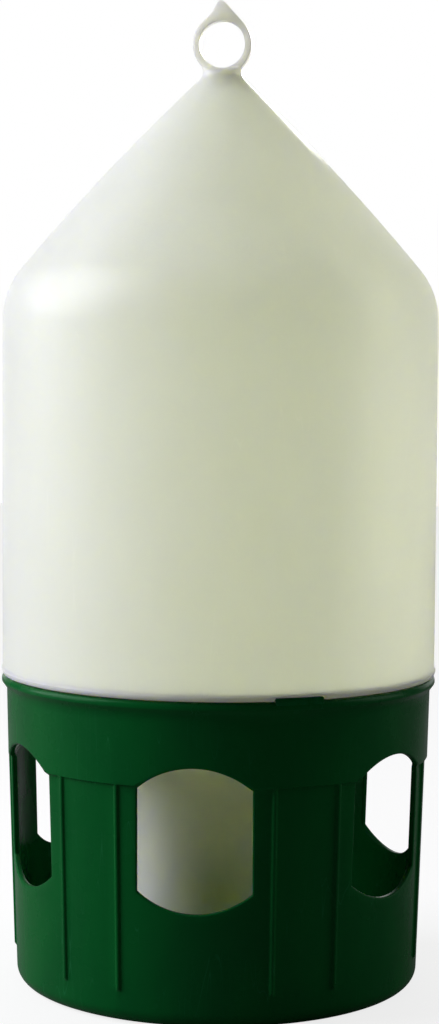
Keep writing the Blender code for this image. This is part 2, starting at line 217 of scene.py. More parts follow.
# What handling and moulding do to each plastic. Sizes and depths are in millimetres.
GREEN_COLOUR = (0.003, 0.126, 0.0235, 1.0)
GREEN_CLOUD = (0.003, 0.108, 0.022, 1.0)
NATURAL_LOOK = {
    "skin": {"Peel Size": 1.6, "Peel Height": 0.012, "Wave Size": 38.0, "Wave Height": 0.25},
    "scuffs": {"Patch Size": 36.0, "Scratch Spacing": 7.0},
    "dust": {"Grain": 0.8, "Drift Size": 26.0},
    "scratch tint": (0.25, (0.93, 0.93, 0.9, 1.0)),
    "dust tint": (0.12, (0.62, 0.59, 0.52, 1.0)),
    "roughness": (0.39, 0.09, 0.12),
    "scratch depth": 0.006,
    "parting height": 0.07,
}
GREEN_LOOK = {
    "skin": {"Peel Size": 1.1, "Peel Height": 0.012, "Wave Size": 18.0, "Wave Height": 0.12},
    "clouds": {"Colour": GREEN_COLOUR, "Cloud": GREEN_CLOUD, "Cloud Size": 24.0},
    "scuffs": {"Patch Size": 22.0, "Scratch Spacing": 5.0},
    "edges": {"Sharpness Start": 0.53, "Sharpness End": 0.64, "Break Size": 5.0},
    "dust": {"Grain": 0.6, "Drift Size": 18.0},
    "rubbed tint": (0.45, (0.02, 0.24, 0.09, 1.0)),
    "scratch tint": (0.4, (0.02, 0.2, 0.07, 1.0)),
    "dust tint": (0.1, (0.3, 0.32, 0.28, 1.0)),
    "roughness": (0.22, 0.1, 0.14),
    "scratch depth": 0.005,
}


def at(azimuth, radius, height):
    return Vector((radius * math.sin(azimuth), -radius * math.cos(azimuth), height))


def blend(low, high, share):
    return low + (high - low) * share


def smooth(value, low, high):
    """0 below low, 1 above high, and an even S-curve between them."""
    share = min(max((value - low) / (high - low), 0.0), 1.0)
    return share * share * (3 - 2 * share)


def arc(centre, radius, start, end, steps):
    """Points on an arc in the (radius, height) half-plane; angle 0 points outwards and 90 degrees up."""
    points = []
    for step in range(steps + 1):
        angle = blend(start, end, step / steps)
        points.append((centre[0] + radius * math.cos(angle), centre[1] + radius * math.sin(angle)))
    return points


def spaced(start, end, steps):
    """Values from start to end without start itself."""
    return [blend(start, end, step / steps) for step in range(1, steps + 1)]


def closed_row(bm, azimuths, radius, height):
    return [bm.verts.new(at(azimuth, radius, height)) for azimuth in azimuths]


def strip(bm, lower, upper):
    """Faces between two closed rows of vertices."""
    for index, vert in enumerate(lower):
        after = (index + 1) % len(lower)
        bm.faces.new((vert, lower[after], upper[after], upper[index]))


def close_with_fan(bm, row, centre):
    middle = bm.verts.new(centre)
    for index, vert in enumerate(row):
        bm.faces.new((vert, row[(index + 1) % len(row)], middle))


def turned_rows(bm, first_row, azimuths, profile):
    """Rows of a solid of revolution after first_row, one for each point of the profile; returns the last."""
    row = first_row
    for radius, height in profile:
        following = closed_row(bm, azimuths, radius, height)
        strip(bm, row, following)
        row = following
    return row


def add_curved_bar(bm, start, end, radii, heights, edge, steps):
    """A bar that follows the round wall, with its long edges and its ends eased by edge."""
    radius_low, radius_high = radii
    height_low, height_high = heights
    section = (
        (radius_low, height_low),
        (radius_high, height_low),
        (radius_high, height_high - edge),
        (radius_high - edge / 3, height_high - edge / 3),
        (radius_high - edge, height_high),
        (radius_low + edge, height_high),
        (radius_low, height_high - edge),
    )
    middle_radius = (radius_low + radius_high) / 2
    middle_height = (height_low + height_high) / 2
    end_turn = edge / radius_high
    places = [(start, edge), (start + end_turn, 0.0)]
    places += [(blend(start, end, step / steps), 0.0) for step in range(1, steps)]
    places += [(end - end_turn, 0.0), (end, edge)]
    rows = []
    for azimuth, inset in places:
        row = []
        for radius, height in section:
            radius += math.copysign(inset, middle_radius - radius)
            height += min(inset, middle_height - height) if height < middle_height else -inset
            row.append(bm.verts.new(at(azimuth, radius, height)))
        rows.append(row)
    for near, far in zip(rows, rows[1:]):
        strip(bm, near, far)
    bm.faces.new(rows[0])
    bm.faces.new(reversed(rows[-1]))


def finished_mesh(name, bm):
    mesh = bpy.data.meshes.new(name)
    bm.to_mesh(mesh)
    bm.free()
    return mesh


def add_object(name, data):
    obj = bpy.data.objects.new(name, data)
    bpy.context.scene.collection.objects.link(obj)
    return obj


def evaluated_mesh(obj):
    """The object's mesh with its modifiers applied."""
    evaluated = obj.evaluated_get(bpy.context.evaluated_depsgraph_get())
    return bpy.data.meshes.new_from_object(evaluated)


def make_piece(name, bm, body, node, material):
    """Turn bm into a visible piece that rides on a body and stands for a CAD node."""
    bmesh.ops.recalc_face_normals(bm, faces=bm.faces)
    mesh = finished_mesh(name, bm)
    mesh.shade_smooth()
    mesh.set_sharp_from_angle(angle=math.radians(40))
    mesh.materials.append(material)
    obj = add_object(name, mesh)
    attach(obj, body)
    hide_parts(node)
    return obj


def stepped_radius(height, step_top):
    """Radius of the base's wall and band, with the small step that ends at step_top between them."""
    wall = blend(WALL_FOOT_RADIUS, WALL_TOP_RADIUS, height / BAND_BOTTOM)
    share = (height - BAND_BOTTOM) / (RIM_UNDERSIDE - BAND_BOTTOM)
    band = blend(BAND_BOTTOM_RADIUS, BAND_TOP_RADIUS, share)
    return blend(wall, band, smooth(height, BAND_BOTTOM - BAND_STEP, step_top))


def wall_radius(height):
    return stepped_radius(height, BAND_BOTTOM)


def inner_radius(height):
    return stepped_radius(height, BAND_BOTTOM + BAND_STEP) - WALL_THICKNESS


def bow(half_width, spring, crown, steps):
    """An arch from +half_width to -half_width that starts at the spring height and peaks at the crown."""
    rise = abs(crown - spring)
    radius = (half_width**2 + rise**2) / (2 * rise)
    half_angle = math.asin(half_width / radius)
    side = math.copysign(1.0, crown - spring)
    points = []
    for step in range(steps + 1):
        angle = blend(half_angle, -half_angle, step / steps)
        points.append((radius * math.sin(angle), crown - side * radius * (1 - math.cos(angle))))
    return points


def offset_outline(outline, distance):
    """The closed anticlockwise outline moved outwards by a distance, with mitred corners."""
    moved = []
    for index, point in enumerate(outline):
        before = Vector(outline[index - 1])
        here = Vector(point)
        after = Vector(outline[(index + 1) % len(outline)])
        first = (here - before).normalized()
        second = (after - here).normalized()
        normal = Vector((first.y + second.y, -first.x - second.x)).normalized()
        stretch = normal.dot(Vector((first.y, -first.x)))
        moved.append(tuple(here + normal * (distance / stretch)))
    return moved


class WindowWall:
    """The grid of rows and columns that both faces of the base's wall share.

    Rows run round the base and columns run up it. Each sixth of the wall leaves out one window, and
    the columns over and under the window bend to its arched head and sill.
    """

    BELOW = [16.0, 20.0, 25.0, 30.0, 35.0, 40.0, 45.0, 50.0]
    BESIDE_STEPS = 12
    ABOVE = [94.8, 94.9, 95.05, 95.2, 95.3, 96.5, 99.0, 102.0, 106.0, 110.0, 115.0, 120.0, 123.3]
    BETWEEN = 4

    def __init__(self):
        beside = [WINDOW_SILL_SPRING] + spaced(WINDOW_SILL_SPRING, WINDOW_HEAD_SPRING, self.BESIDE_STEPS)
        self.heights = [height * MM for height in self.BELOW] + beside
        self.heights += [height * MM for height in self.ABOVE]
        self.sill_row = len(self.BELOW)
        self.head_row = self.sill_row + self.BESIDE_STEPS
        self.make_columns()
        self.make_outline()

    def make_columns(self):
        """Azimuths across one sixth of the base, from the middle of one pillar to that of the next."""
        half_sector = FULL_TURN / WINDOW_COUNT / 2
        rib = half_sector - RIB_OFFSET
        middle_radius = (WALL_FOOT_RADIUS + WALL_TOP_RADIUS) / 2
        rises = [(-across, rise) for across, rise in RIB_SECTION]
        rises += [(across, rise) for across, rise in reversed(RIB_SECTION[:-1])]
        fixed = [(rib + across * MM / middle_radius, rise * MM) for across, rise in rises]
        fixed += [(azimuth, 0.0) for azimuth in spaced(fixed[-1][0], half_sector, 3)]
        window = math.asin(WINDOW_HALF_WIDTH / WALL_TOP_RADIUS)
        between = [(azimuth, 0.0) for azimuth in spaced(fixed[0][0], window, self.BETWEEN)[:-1]]
        right = between[::-1] + fixed
        left = [(-azimuth, rise) for azimuth, rise in reversed(right)]
        middle = [(blend(-window, window, step / WINDOW_COLUMNS), 0.0) for step in range(WINDOW_COLUMNS + 1)]
        columns = left + middle + right[:-1]
        self.azimuths = [azimuth for azimuth, rise in columns]
        self.rises = [rise for azimuth, rise in columns]
        self.first = len(left)
        self.last = self.first + WINDOW_COLUMNS

    def make_outline(self):
        """The window's edge, and the (row, column) of the grid that each of its points belongs to."""
        head = bow(WINDOW_HALF_WIDTH, WINDOW_HEAD_SPRING, WINDOW_HEAD_TOP, WINDOW_COLUMNS)
        sill = bow(WINDOW_HALF_WIDTH, WINDOW_SILL_SPRING, WINDOW_SILL_BOTTOM, WINDOW_COLUMNS)[::-1]
        side_rows = list(range(self.sill_row + 1, self.head_row))
        left = [(-WINDOW_HALF_WIDTH, self.heights[row]) for row in reversed(side_rows)]
        right = [(WINDOW_HALF_WIDTH, self.heights[row]) for row in side_rows]
        self.outline = head + left + sill + right
        across = range(self.first, self.last + 1)
        self.edge_cells = [(self.head_row, column) for column in reversed(across)]
        self.edge_cells += [(row, self.first) for row in reversed(side_rows)]
        self.edge_cells += [(self.sill_row, column) for column in across]
        self.edge_cells += [(row, self.last) for row in side_rows]

    def places(self, distance, radius_at):
        """(azimuth, height) of every grid point of one sixth, around a window widened by a distance."""
        moved = offset_outline(self.outline, distance)
        edge = [(math.asin(across / radius_at(height)), height) for across, height in moved]
        places = dict(zip(self.edge_cells, edge))
        top = len(self.heights) - 1
        for row, height in enumerate(self.heights):
            if row > self.head_row:
                self.fill_columns(places, row, self.head_row, top)
            if row < self.sill_row:
                self.fill_columns(places, row, self.sill_row, 0)
            for column, azimuth in enumerate(self.azimuths):
                to_window = max(self.first - column, column - self.last)
                if to_window <= 0:
                    continue
                share = min(to_window / self.BETWEEN, 1.0)
                side = places[row, self.first if column < self.first else self.last]
                rest = self.azimuths[self.first if column < self.first else self.last]
                shift = blend(side[0] - rest, 0.0, share)
                places[row, column] = (azimuth + shift, blend(side[1], height, share))
        return places

    def fill_columns(self, places, row, from_row, to_row):
        start_height = self.heights[from_row]
        share = (self.heights[row] - start_height) / (self.heights[to_row] - start_height)
        for column in range(self.first, self.last + 1):
            azimuth, height = places[from_row, column]
            goal = self.azimuths[column]
            places[row, column] = (blend(azimuth, goal, share), blend(height, self.heights[to_row], share))

    def rib_rise(self, column, height):
        foot = smooth(height, RIB_BOTTOM, RIB_BOTTOM + RIB_FOOT_RAMP)
        return self.rises[column] * foot * (1 - smooth(height, BAND_BOTTOM - BAND_STEP, BAND_BOTTOM))

    def add_sheet(self, bm, distance, radius_at, ribbed):
        """One face of the wall; returns its rows of vertices and the edge of each window."""
        places = self.places(distance, radius_at)
        rows = [[] for height in self.heights]
        edges = []
        for sector in range(WINDOW_COUNT):
            middle = FULL_TURN * sector / WINDOW_COUNT
            verts = {}
            for row in range(len(self.heights)):
                for column in range(len(self.azimuths)):
                    vert = None
                    if (row, column) in places:
                        azimuth, height = places[row, column]
                        rise = self.rib_rise(column, height) if ribbed else 0.0
                        vert = bm.verts.new(at(middle + azimuth, radius_at(height) + rise, height))
                    verts[row, column] = vert
                    rows[row].append(vert)
            edges.append([verts[cell] for cell in self.edge_cells])
        for lower, upper in zip(rows, rows[1:]):
            for index, vert in enumerate(lower):
                after = (index + 1) % len(lower)
                corners = (vert, lower[after], upper[after], upper[index])
                if None not in corners:
                    bm.faces.new(corners)
        return rows, edges

    def add_jamb(self, bm, sector, outer_edge, inner_edge):
        """The rounded edges and the parallel sides of one window, from the outer face to the inner one."""
        middle = FULL_TURN * sector / WINDOW_COUNT
        row = outer_edge
        roundings = (
            (WINDOW_OUTER_ROUNDING, wall_radius, -1, (0.25, 0.5, 0.75, 1.0)),
            (WINDOW_INNER_ROUNDING, inner_radius, 1, (1.0, 0.66, 0.33)),
        )
        for rounding, radius_at, side, shares in roundings:
            for share in shares:
                turn = share * RIGHT
                depth = side * rounding * (1 - math.cos(turn))
                following = []
                for across, height in offset_outline(self.outline, rounding * (1 - math.sin(turn))):
                    radius = radius_at(height) + depth
                    following.append(bm.verts.new(at(middle + math.asin(across / radius), radius, height)))
                strip(bm, row, following)
                row = following
        strip(bm, row, inner_edge)

    def all_azimuths(self):
        return [
            FULL_TURN * sector / WINDOW_COUNT + azimuth
            for sector in range(WINDOW_COUNT)
            for azimuth in self.azimuths
        ]


def add_ribbed_row(bm, wall, radius, height):
    row = []
    for index, azimuth in enumerate(wall.all_azimuths()):
        rise = wall.rib_rise(index % len(wall.azimuths), height)
        row.append(bm.verts.new(at(azimuth, radius + rise, height)))
    return row


def make_base(material):
    bm = bmesh.new()
    wall = WindowWall()
    azimuths = wall.all_azimuths()
    outer_rows, outer_edges = wall.add_sheet(bm, WINDOW_OUTER_ROUNDING, wall_radius, True)
    inner_rows, inner_edges = wall.add_sheet(bm, WINDOW_INNER_ROUNDING, inner_radius, False)
    for sector in range(WINDOW_COUNT):
        wall.add_jamb(bm, sector, outer_edges[sector], inner_edges[sector])

    # Over the rim, from the top of the band to the top of the inner face.
    rim_corner = (RIM_RADIUS - RIM_ROUNDING, RIM_TOP - RIM_ROUNDING)
    lower_corner = (RIM_RADIUS - RIM_LOWER_ROUNDING, RIM_UNDERSIDE + RIM_LOWER_ROUNDING)
    mouth = BAND_TOP_RADIUS - WALL_THICKNESS
    rim = [(RIM_RADIUS - RIM_FILLET_INSET, RIM_UNDERSIDE - RIM_FILLET_DROP)]
    rim += arc(lower_corner, RIM_LOWER_ROUNDING, math.radians(-45), 0.0, 4)
    rim += arc(rim_corner, RIM_ROUNDING, 0.0, RIGHT, 5)
    rim += [(KEY_INNER_RADIUS, RIM_TOP)]
    mouth_corner = (mouth + MOUTH_ROUNDING, RIM_TOP - MOUTH_ROUNDING)
    rim += arc(mouth_corner, MOUTH_ROUNDING, RIGHT, 2 * RIGHT, 3)
    rim += [(mouth, MOUTH_BOTTOM)]
    last = turned_rows(bm, outer_rows[-1], azimuths, rim)
    strip(bm, last, inner_rows[-1])

    # Down the ribs' feet and round under the base.
    row = outer_rows[0]
    for height in RIB_FOOT_ROWS:
        following = add_ribbed_row(bm, wall, wall_radius(height * MM), height * MM)
        strip(bm, row, following)
        row = following
    foot_start = wall_radius(FOOT_ROUNDING)
    foot_flat = foot_start - FOOT_ROUNDING
    recess_edge = foot_flat - FOOT_RING_WIDTH
    foot = arc((foot_flat, FOOT_ROUNDING), FOOT_ROUNDING, 0.0, -RIGHT, 10)
    foot += [(recess_edge, 0.0), (recess_edge - FOOT_RECESS, FOOT_RECESS)]
    foot += [(radius * MM, FOOT_RECESS) for radius in UNDERSIDE_RADII]
    row = turned_rows(bm, row, azimuths, foot)
    close_with_fan(bm, row, (0.0, 0.0, FOOT_RECESS))

    # Down the inside and over the floor.
    floor_corner = (inner_radius(FLOOR_TOP + FLOOR_ROUNDING) - FLOOR_ROUNDING, FLOOR_TOP + FLOOR_ROUNDING)
    inside = [(inner_radius(INSIDE_BOTTOM), INSIDE_BOTTOM)]
    inside += arc(floor_corner, FLOOR_ROUNDING, 0.0, -RIGHT, 6)
    inside += [(radius * MM, FLOOR_TOP) for radius in FLOOR_RADII]
    row = turned_rows(bm, inner_rows[0], azimuths, inside)
    close_with_fan(bm, row, (0.0, 0.0, FLOOR_TOP))

    guide_radii = (GUIDE_INNER_RADIUS, GUIDE_INNER_RADIUS + GUIDE_THICKNESS)
    guide_heights = (FLOOR_TOP - GUIDE_EDGE, GUIDE_TOP)
    for index in range(WINDOW_COUNT):
        start = FULL_TURN * (index + 0.5) / WINDOW_COUNT - GUIDE_SPAN / 2
        add_curved_bar(bm, start, start + GUIDE_SPAN, guide_radii, guide_heights, GUIDE_EDGE, 16)
    key_span = (KEY_START + KEY_SIDE_CLEARANCE, KEY_END - KEY_SIDE_CLEARANCE)
    key_heights = (RIM_TOP - 1.5 * RIM_ROUNDING, RIM_TOP + KEY_HEIGHT)
    add_curved_bar(bm, *key_span, (KEY_INNER_RADIUS, KEY_OUTER_RADIUS), key_heights, KEY_EDGE, 10)
    make_piece("drinking_base_shell", bm, "base", "drinking_base", material)


def cone_point(slope):
    """(radius, height) on the domed cone where its side leans inwards by a slope."""
    foot_radius = TANK_RADIUS - SHOULDER_RADIUS * (1 - math.cos(CONE_START_SLOPE))
    foot_height = SHOULDER_START + SHOULDER_RADIUS * math.sin(CONE_START_SLOPE)
    inwards = CONE_DOME_RADIUS * (math.cos(CONE_START_SLOPE) - math.cos(slope))
    upwards = CONE_DOME_RADIUS * (math.sin(slope) - math.sin(CONE_START_SLOPE))
    return (foot_radius - inwards, foot_height + upwards)


def funnel_points(spigot, neck, height, spigot_rounding, neck_rounding, steps):
    """From a spigot's wall down through the funnel to a neck's wall, as two arcs and the slope between."""
    turn = RIGHT - FUNNEL_SLOPE
    upper = arc((spigot - spigot_rounding, height), spigot_rounding, 0.0, -turn, steps)
    neck_centre_radius = neck + neck_rounding
    run = upper[-1][0] - (neck_centre_radius - neck_rounding * math.cos(turn))
    neck_centre_height = upper[-1][1] - run * math.tan(FUNNEL_SLOPE) - neck_rounding * math.sin(turn)
    lower = arc((neck_centre_radius, neck_centre_height), neck_rounding, 2 * RIGHT - turn, 2 * RIGHT, steps)
    between = [
        (blend(upper[-1][0], lower[0][0], share), blend(upper[-1][1], lower[0][1], share))
        for share in (0.33, 0.67)
    ]
    return upper + between + lower


def on_ring(radius, angle):
    """(across, height) on a circle round the ring's centre, at an angle in degrees from +X."""
    turn = math.radians(angle)
    return Vector((radius * math.cos(turn), RING_CENTRE + radius * math.sin(turn)))


def ring_sections():
    """(inner, outer) points along the ring: right strand, peak with its blunt tip, left strand."""
    hole = RING_HOLE_RADIUS * CAGE_SWELL
    outside = RING_OUTER_RADIUS * CAGE_SWELL
    right = [(on_ring(hole, inner), on_ring(outside, outer)) for inner, outer in STRAND_ANGLES]
    left = [
        (on_ring(hole, 180 - inner), on_ring(outside, 180 - outer))
        for inner, outer in reversed(STRAND_ANGLES)
    ]
    tip = [Vector((across * MM, RING_CENTRE + height * MM)) for across, height in RING_TIP]
    start = right[-1][1]
    end = left[0][1]
    sag = Vector((RING_SAG, -RING_SAG))
    right_side = [(on_ring(hole, angle), start.lerp(tip[0], share)) for angle, share in FLANK_ANGLES]
    left_side = [
        (on_ring(hole, 180 - angle), end.lerp(tip[2], share) + sag)
        for angle, share in reversed(FLANK_ANGLES)
    ]
    peak = [(on_ring(hole, angle), point) for angle, point in zip(TIP_ANGLES, tip)]
    return right + right_side + peak + left_side + left


def add_ring_cage(bm, ports):
    """The ring's strand, section by section, from the right port round to the left one."""
    depths = (-RING_HALF_THICKNESS, RING_EDGE - RING_HALF_THICKNESS)
    depths += (RING_HALF_THICKNESS - RING_EDGE, RING_HALF_THICKNESS)
    row = ports[0]
    for inner, outer in ring_sections():
        edge = RING_EDGE / (outer - inner).length
        lines = [inner.lerp(outer, share) for share in (0.0, edge, 1 - edge, 1.0)]
        following = [bm.verts.new((lines[i].x, depths[j], lines[i].y)) for i, j in SECTION_ORDER]
        strip(bm, row, following)
        row = following
    strip(bm, row, ports[1])


def add_stub_top(bm):
    """The stub's top as a grid with a port at each end for the ring; returns its rim and the two ports."""
    across = [share * STUB_RADIUS for share in STUB_COLUMNS]
    depths = [-RING_HALF_THICKNESS, -RING_HALF_THICKNESS + RING_EDGE]
    depths += [-depth for depth in reversed(depths)]
    arc_turns = [math.radians(angle) for angle in STUB_TURNS]
    grid = {}
    for i, x in enumerate(across):
        for j, y in enumerate(depths):
            reach = math.sqrt(STUB_RADIUS**2 - y**2) / STUB_RADIUS
            grid[i, j + 2] = Vector((x * reach, y, STUB_TOP))
        for side, edge, outer, between in ((1, 5, 7, 6), (-1, 2, 0, 1)):
            rim = Vector((
                STUB_RADIUS * math.cos(arc_turns[i]),
                side * STUB_RADIUS * math.sin(arc_turns[i]),
                STUB_TOP - STUB_CROWN,
            ))
            grid[i, outer] = rim
            grid[i, between] = grid[i, edge].lerp(rim, 0.5) + Vector((0.0, 0.0, STUB_CROWN / 5))
    verts = {cell: bm.verts.new(place) for cell, place in grid.items()}
    for i in range(8):
        for j in range(7):
            if j in (2, 3, 4) and i not in (3, 4):
                continue
            bm.faces.new((verts[i, j], verts[i + 1, j], verts[i + 1, j + 1], verts[i, j + 1]))
    right = [verts[5 + i, 2 + j] for i, j in SECTION_ORDER]
    left = [verts[3 - i, 2 + j] for i, j in SECTION_ORDER]
    rim = [verts[i, 0] for i in range(9)]
    rim += [verts[8, j] for j in range(1, 7)]
    rim += [verts[i, 7] for i in range(8, -1, -1)]
    rim += [verts[0, j] for j in range(6, 0, -1)]
    return rim, (right, left)


def make_apex():
    """The ring, the stub and the top of the cone as one subdivided sheet, open below."""
    bm = bmesh.new()
    rim, ports = add_stub_top(bm)
    add_ring_cage(bm, ports)
    rim_azimuths = [math.atan2(vert.co.x, -vert.co.y) for vert in rim]
    count = len(rim)
    first = min(range(count), key=lambda index: abs(rim_azimuths[index]))
    even = [FULL_TURN * (index - first) / count for index in range(count)]
    turns = [
        azimuth + FULL_TURN * round((goal - azimuth) / FULL_TURN)
        for azimuth, goal in zip(rim_azimuths, even)
    ]
    profile = [(radius * MM, height * MM) for radius, height in STUB_FLARE]
    profile += [cone_point(math.radians(slope)) for slope in APEX_SLOPES]
    row = rim
    shrink = (2 + math.cos(FULL_TURN / count)) / 3
    for index, (radius, height) in enumerate(profile):
        share = smooth(index, 1, 6)
        azimuths = [blend(turn, goal, share) for turn, goal in zip(turns, even)]
        following = closed_row(bm, azimuths, blend(radius, radius / shrink, share), height)
        strip(bm, row, following)
        row = following
    bmesh.ops.recalc_face_normals(bm, faces=bm.faces)
    cage = add_object("apex_cage", finished_mesh("apex_cage", bm))
    rounding = cage.modifiers.new("rounding", "SUBSURF")
    rounding.levels = CAGE_LEVELS
    rounding.render_levels = CAGE_LEVELS
    rounded = evaluated_mesh(cage)
    bpy.data.objects.remove(cage)
    return rounded


def body_azimuths(count):
    """Even columns, with the nearest ones moved to the ends of the lip's notch."""
    azimuths = [FULL_TURN * index / count for index in range(count)]
    for edge, side in ((KEY_START, -1), (KEY_END, 1)):
        nearest = min(range(count), key=lambda index: abs(azimuths[index] - edge))
        azimuths[nearest] = edge
        azimuths[nearest + side] = edge + side * NOTCH_STEP / TANK_RADIUS
    return azimuths


def lip_points(bottom):
    """The lip's section from the wall down to its underside, for a given height of that underside."""
    top = LIP_BOTTOM + LIP_HEIGHT
    fall = top - bottom
    rounding = min(LIP_ROUNDING, fall * 0.3)
    corner = (LIP_RADIUS - rounding - LIP_LEAN * fall, bottom + rounding)
    top_corner = (LIP_RADIUS - LIP_TOP_ROUNDING, top - LIP_TOP_DROP)
    points = [(TANK_RADIUS + out * MM, top + up * MM) for out, up in LIP_BLEND]
    points += arc(top_corner, LIP_TOP_ROUNDING, RIGHT, 0.0, 3)
    points += arc(corner, rounding, math.radians(-15), -RIGHT, 4)
    points += [(KEY_INNER_RADIUS - GAP + NOTCH_EASE, bottom), (KEY_INNER_RADIUS - 2 * GAP, LIP_BOTTOM)]
    return points


def in_notch(azimuth):
    slack = math.radians(0.01)
    return KEY_START - slack <= azimuth <= KEY_END + slack


def add_lip(bm, row, azimuths):
    """The lip all round, lifted off the rim in the notch."""
    seated = lip_points(LIP_BOTTOM)
    lifted = lip_points(RIM_TOP + KEY_HEIGHT + GAP)
    for low, high in zip(seated, lifted):
        following = []
        for azimuth in azimuths:
            radius, height = high if in_notch(azimuth) else low
            following.append(bm.verts.new(at(azimuth, radius, height)))
        strip(bm, row, following)
        row = following
    return row


def add_lump(bm, middle, half_width, heights, edge, steps):
    half_span = half_width / TANK_RADIUS
    add_curved_bar(bm, middle - half_span, middle + half_span, LUMP_RADII, heights, edge, steps)


def cut_outlets(tank):
    """Arched slots up from the mouth of the neck."""
    head = bow(OUTLET_WIDTH / 2, OUTLET_TOP - OUTLET_WIDTH / 3, OUTLET_TOP, 12)
    foot = NECK_BOTTOM - CUT_MARGIN
    outline = head + [(-OUTLET_WIDTH / 2, foot), (OUTLET_WIDTH / 2, foot)]
    bm = bmesh.new()
    for index in range(OUTLET_COUNT):
        middle = FULL_TURN * (index + 0.5) / OUTLET_COUNT
        rings = [
            [bm.verts.new(at(middle + across / NECK_RADIUS, radius, height)) for across, height in outline]
            for radius in (NECK_RADIUS - 4 * TANK_WALL, NECK_RADIUS + 2 * TANK_WALL)
        ]
        strip(bm, *rings)
        bm.faces.new(rings[0])
        bm.faces.new(reversed(rings[1]))
    bmesh.ops.recalc_face_normals(bm, faces=bm.faces)
    cutter = add_object("outlet_cutter", finished_mesh("outlet_cutter", bm))
    cut = tank.modifiers.new("outlets", "BOOLEAN")
    cut.operation = "DIFFERENCE"
    cut.solver = "EXACT"
    cut.object = cutter
    finished = evaluated_mesh(tank)

    # The cut leaves slivers at the slots' heads and faces with many corners.
    bm = bmesh.new()
    bm.from_mesh(finished)
    bmesh.ops.dissolve_degenerate(bm, dist=SMALLEST_EDGE, edges=bm.edges)
    many_sided = [face for face in bm.faces if len(face.verts) > 4]
    bmesh.ops.triangulate(bm, faces=many_sided, ngon_method="BEAUTY")
    bm.to_mesh(finished)
    bm.free()
    tank.modifiers.clear()
    tank.data = finished
    bpy.data.objects.remove(cutter)


def make_tank(thin_wall, thick_wall, ring, lip):
    bm = bmesh.new()
    bm.from_mesh(make_apex())
    edge = [vert for vert in bm.verts if vert.is_boundary]
    edge.sort(key=lambda vert: math.atan2(vert.co.x, -vert.co.y) % FULL_TURN)
    count = len(edge)
    edge_azimuths = [math.atan2(vert.co.x, -vert.co.y) % FULL_TURN for vert in edge]
    azimuths = body_azimuths(count)

    outside = [cone_point(math.radians(slope)) for slope in spaced(44.5, 40.0, 24)]
    for slope in spaced(CONE_START_SLOPE, 0.0, 18):
        radius = TANK_RADIUS - SHOULDER_RADIUS * (1 - math.cos(slope))
        outside.append((radius, SHOULDER_START + SHOULDER_RADIUS * math.sin(slope)))
    outside += [(TANK_RADIUS, height) for height in spaced(SHOULDER_START, WALL_BOTTOM, 16)]
    row = edge
    for index, (radius, height) in enumerate(outside):
        share = smooth(index, 0, 12)
        turns = [blend(start, goal, share) for start, goal in zip(edge_azimuths, azimuths)]
        following = closed_row(bm, turns, radius, height)
        strip(bm, row, following)
        row = following
    row = add_lip(bm, row, azimuths)

    mouth = [(SPIGOT_RADIUS + EASED_EDGE, LIP_BOTTOM), (SPIGOT_RADIUS, LIP_BOTTOM - EASED_EDGE)]
    mouth += funnel_points(SPIGOT_RADIUS, NECK_RADIUS, SPIGOT_BOTTOM, SPIGOT_ROUNDING, NECK_ROUNDING, 8)
    mouth += [(NECK_RADIUS, height * MM) for height in NECK_ROWS]
    inner_neck = NECK_RADIUS - TANK_WALL
    edge_height = NECK_BOTTOM + EASED_EDGE
    mouth += arc((NECK_RADIUS - EASED_EDGE, edge_height), EASED_EDGE, 0.0, -RIGHT, 3)
    mouth += arc((inner_neck + EASED_EDGE, edge_height), EASED_EDGE, -RIGHT, -2 * RIGHT, 3)
    mouth += [(inner_neck, height * MM) for height in reversed(NECK_ROWS)]
    inside = funnel_points(
        SPIGOT_RADIUS - TANK_WALL,
        inner_neck,
        SPIGOT_BOTTOM,
        SPIGOT_ROUNDING - TANK_WALL,
        NECK_ROUNDING + TANK_WALL,
        6,
    )
    mouth += reversed(inside)
    mouth += [(SPIGOT_RADIUS - TANK_WALL, LIP_BOTTOM + LIP_THICKNESS)]
    mouth += [(TANK_RADIUS - TANK_WALL, LIP_BOTTOM + LIP_THICKNESS + LIP_CORNER)]
    mouth += [(TANK_RADIUS - TANK_WALL, height) for height in spaced(INNER_WALL_BOTTOM, SHOULDER_START, 8)]
    for slope in spaced(0.0, CONE_START_SLOPE, 8):
        radius = TANK_RADIUS - TANK_WALL - (SHOULDER_RADIUS - TANK_WALL) * (1 - math.cos(slope))
        mouth.append((radius, SHOULDER_START + (SHOULDER_RADIUS - TANK_WALL) * math.sin(slope)))
    for slope in spaced(40.0, 46.0, 8):
        radius, height = cone_point(math.radians(slope))
        lean = math.radians(slope)
        mouth.append((radius - TANK_WALL * math.cos(lean), height - TANK_WALL * math.sin(lean)))
    row = turned_rows(bm, row, azimuths, mouth)
    close_with_fan(bm, row, (0.0, 0.0, row[0].co.z + 2 * TANK_WALL))
    add_lump(bm, *BOSS)
    add_lump(bm, *LEVEL_MARK)
    tank = make_piece("water_tank_shell", bm, "tank", "water_tank", thin_wall)
    cut_outlets(tank)
    for material in (thick_wall, ring, lip):
        tank.data.materials.append(material)
    lip_top = LIP_BOTTOM + LIP_HEIGHT
    lip_inside = TANK_RADIUS - TANK_WALL / 2
    for face in tank.data.polygons:
        if face.center.z < SPIGOT_BOTTOM:
            face.material_index = 1
        # The stub and ring take the ring's material, whose paler colour is painted light for the backlight
        # through them.
        elif face.center.z > STUB_FOOT:
            face.material_index = 2
        elif face.center.z < lip_top and face.center.xy.length > lip_inside:
            face.material_index = 3
        else:
            face.material_index = 0


def add_node(tree, kind, place, **settings):
    node = tree.nodes.new(kind)
    node.location = (place[0] * 200, place[1] * -180)
    for name, value in settings.items():
        setattr(node, name, value)
    return node


def feed(tree, socket, source):
    """Link an output to a socket, or set the socket to a plain value."""
    if isinstance(source, bpy.types.NodeSocket):
        tree.links.new(source, socket)
    else:
        socket.default_value = source


